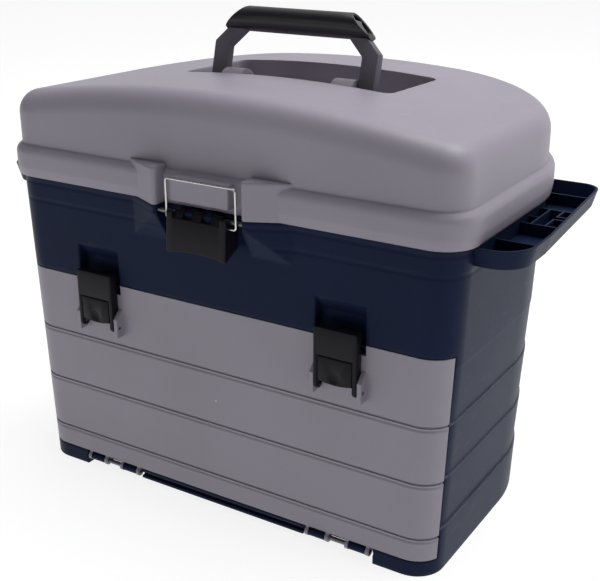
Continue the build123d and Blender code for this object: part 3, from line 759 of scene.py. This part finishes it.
class CHEST_OT_door_latches(bpy.types.Operator):
    """Model one door latch with its legs, grooved panel and thumb dimple, and copy it"""

    bl_idname = "chest.door_latches"
    bl_label = "Door latches"

    def execute(self, context):
        size = context.scene.chest_sizes
        front = front_plane()
        half, thick = size.latch_half / MM, size.latch_front / MM
        low, high = size.latch_low / MM, size.latch_high / MM
        face, back = front - thick, front - 0.4
        lip = low + size.latch_leg / MM
        gap, panel, top = size.latch_gap / MM, size.panel_half / MM, size.panel_top / MM
        groove, hook, catch = size.panel_groove / MM, size.hook_height / MM, size.hook_in / MM
        latch = slab("door_latch_moulding_left", (-half, face, lip), (half, back, high))
        latch.edit()
        latch.cuts(0, [-panel, -panel + groove, -gap, -8.0, 0.0, 8.0, gap, panel - groove, panel])
        latch.cuts(2, [top - groove, top, high - hook])
        latch.faces(lambda at, normal: normal.y > 0.9 and at.z > high - hook)
        latch.pull(0.0, catch, 0.0)
        latch.verts(lambda at: at.y > back + catch - 0.4 and at.z > high - 1.0)
        latch.shift(0.0, 0.0, -4.0)
        latch.faces(lambda at, normal: normal.z < -0.9 and abs(at.x) > gap and at.z < lip + 1.0)
        latch.pull(0.0, 0.0, low + 3.0 - lip)
        latch.pull(0.0, 0.0, -2.7)
        latch.verts(lambda at: at.z < low + 1.0 and at.y < face + 2.0)
        latch.shift(0.0, 2.2, 0.0)
        latch.verts(lambda at: at.z < low + 1.0 and at.y > back - 1.0)
        latch.shift(0.0, -2.0, 0.0)
        for place, drop in ((0.0, 1.8), (8.0, 1.3), (-8.0, 1.3)):
            latch.verts(lambda at, place=place: abs(at.z - lip) < 0.05 and abs(at.x - place) < 0.05)
            latch.shift(0.0, 0.0, -drop)
        latch.faces(
            lambda at, normal: normal.y < -0.9 and at.z < top and abs(at.x) < panel
            and (abs(at.x) > panel - groove or at.z > top - groove)
        )
        latch.pull(0.0, 1.0, 0.0)
        latch.rest()
        ball_y = face - (size.dimple_radius - size.dimple_sink) / MM
        ball = Piece(
            "dimple_ball", bpy.ops.mesh.primitive_uv_sphere_add, segments=72, ring_count=48,
            radius=size.dimple_radius, location=mm(0.0, ball_y, size.dimple_height / MM)
        )
        latch.take()
        latch.carve(ball)
        latch.soften(0.45, 2, 32.0)
        place = size.latch_at / MM
        twin = latch.copy("door_latch_moulding_right", place)
        latch.object.location.x = -size.latch_at
        latch.take()
        latch.settle()
        latch.hand_over("left_latch", "door_latch_left", "black_plastic", finishes["black"])
        twin.hand_over("right_latch", "door_latch_right", "black_plastic", finishes["black"])
        return {"FINISHED"}


class CHEST_OT_studio(bpy.types.Operator):
    """Set the camera, the floor and the soft lights"""

    bl_idname = "chest.studio"
    bl_label = "Studio"

    def execute(self, context):
        stage = context.scene.chest_stage
        look = context.scene.chest_finishes
        self.camera(context, stage)
        bpy.ops.mesh.primitive_plane_add(size=stage.floor_size)
        floor = context.object
        floor.name = "studio_floor"
        floor.data.materials.append(floor_paper("studio_paper", look.floor, FLOOR_GLOW))
        for box in SOFTBOXES:
            self.softbox(*box)
        context.scene.world = self.room()
        context.scene.view_settings.view_transform = "Standard"
        return {"FINISHED"}

    def camera(self, context, stage):
        turn, tilt = stage.azimuth, stage.elevation
        out = Vector((math.sin(turn) * math.cos(tilt), -math.cos(turn) * math.cos(tilt), math.sin(tilt)))
        right = Vector((math.cos(turn), math.sin(turn), 0.0))
        up = out.cross(right)
        level = math.cos(stage.roll) * right + math.sin(stage.roll) * up
        plumb = math.cos(stage.roll) * up - math.sin(stage.roll) * right
        place = Matrix((level, plumb, out)).transposed().to_4x4()
        place.translation = stage.eye
        bpy.ops.object.camera_add()
        camera = context.object
        camera.name = "studio_camera"
        camera.matrix_world = place
        camera.data.sensor_fit = "HORIZONTAL"
        camera.data.lens = stage.lens_pixels * camera.data.sensor_width / IMAGE_WIDTH
        camera.data.dof.use_dof = False
        context.scene.camera = camera

    def room(self):
        world = bpy.data.worlds.new("studio_world")
        world.use_nodes = True
        nodes, links = world.node_tree.nodes, world.node_tree.links
        glow = nodes["Background"]
        way = nodes.new("ShaderNodeTexCoord")
        parts = nodes.new("ShaderNodeSeparateXYZ")
        pale = nodes.new("ShaderNodeMapRange")
        pale.interpolation_type = "SMOOTHSTEP"
        for key, value in ROOM_TURN.items():
            pale.inputs[key].default_value = value
        links.new(way.outputs["Generated"], parts.inputs[0])
        links.new(parts.outputs["Y"], pale.inputs["Value"])
        seen = nodes.new("ShaderNodeLightPath")
        backdrop = nodes.new("ShaderNodeMath")
        backdrop.operation = "MAXIMUM"
        links.new(pale.outputs["Result"], backdrop.inputs[0])
        links.new(seen.outputs["Is Camera Ray"], backdrop.inputs[1])
        links.new(backdrop.outputs[0], glow.inputs["Strength"])
        glow.inputs["Color"].default_value = (1.0, 1.0, 1.0, 1.0)
        return world

    def softbox(self, name, place, size, power):
        bpy.ops.object.light_add(type="AREA", location=place)
        lamp = bpy.context.object
        lamp.name = name
        lamp.data.shape = "DISK"
        lamp.data.size = size
        lamp.data.energy = power
        lamp.rotation_euler = (Vector(LAMP_AIM) - Vector(place)).to_track_quat("-Z", "Y").to_euler()


class CHEST_PT_panel(bpy.types.Panel):
    """Steps that dress the chest"""

    bl_idname = "CHEST_PT_panel"
    bl_label = "Storage Chest"
    bl_space_type = "VIEW_3D"
    bl_region_type = "UI"
    bl_category = "Chest"

    def draw(self, context):
        for step in STEPS:
            self.layout.operator(step.bl_idname, text=step.bl_label)


STEPS = (
    CHEST_OT_shells, CHEST_OT_fittings, CHEST_OT_grip, CHEST_OT_handle_frame, CHEST_OT_lever, CHEST_OT_wire,
    CHEST_OT_door_latches, CHEST_OT_studio,
)
CLASSES = (ChestFinishes, ChestSizes, ChestStage) + STEPS + (CHEST_PT_panel,)


def register():
    for made in CLASSES:
        bpy.utils.register_class(made)
    bpy.types.Scene.chest_finishes = bpy.props.PointerProperty(type=ChestFinishes)
    bpy.types.Scene.chest_sizes = bpy.props.PointerProperty(type=ChestSizes)
    bpy.types.Scene.chest_stage = bpy.props.PointerProperty(type=ChestStage)


def unregister():
    del bpy.types.Scene.chest_stage
    del bpy.types.Scene.chest_sizes
    del bpy.types.Scene.chest_finishes
    for made in reversed(CLASSES):
        bpy.utils.unregister_class(made)


def main():
    register()
    bpy.ops.object.select_all(action="DESELECT")
    bpy.ops.chest.shells()
    bpy.ops.chest.fittings()
    bpy.ops.chest.grip()
    bpy.ops.chest.handle_frame()
    bpy.ops.chest.lever()
    bpy.ops.chest.wire()
    bpy.ops.chest.door_latches()
    bpy.ops.chest.studio()


if __name__ == "__main__":
    main()
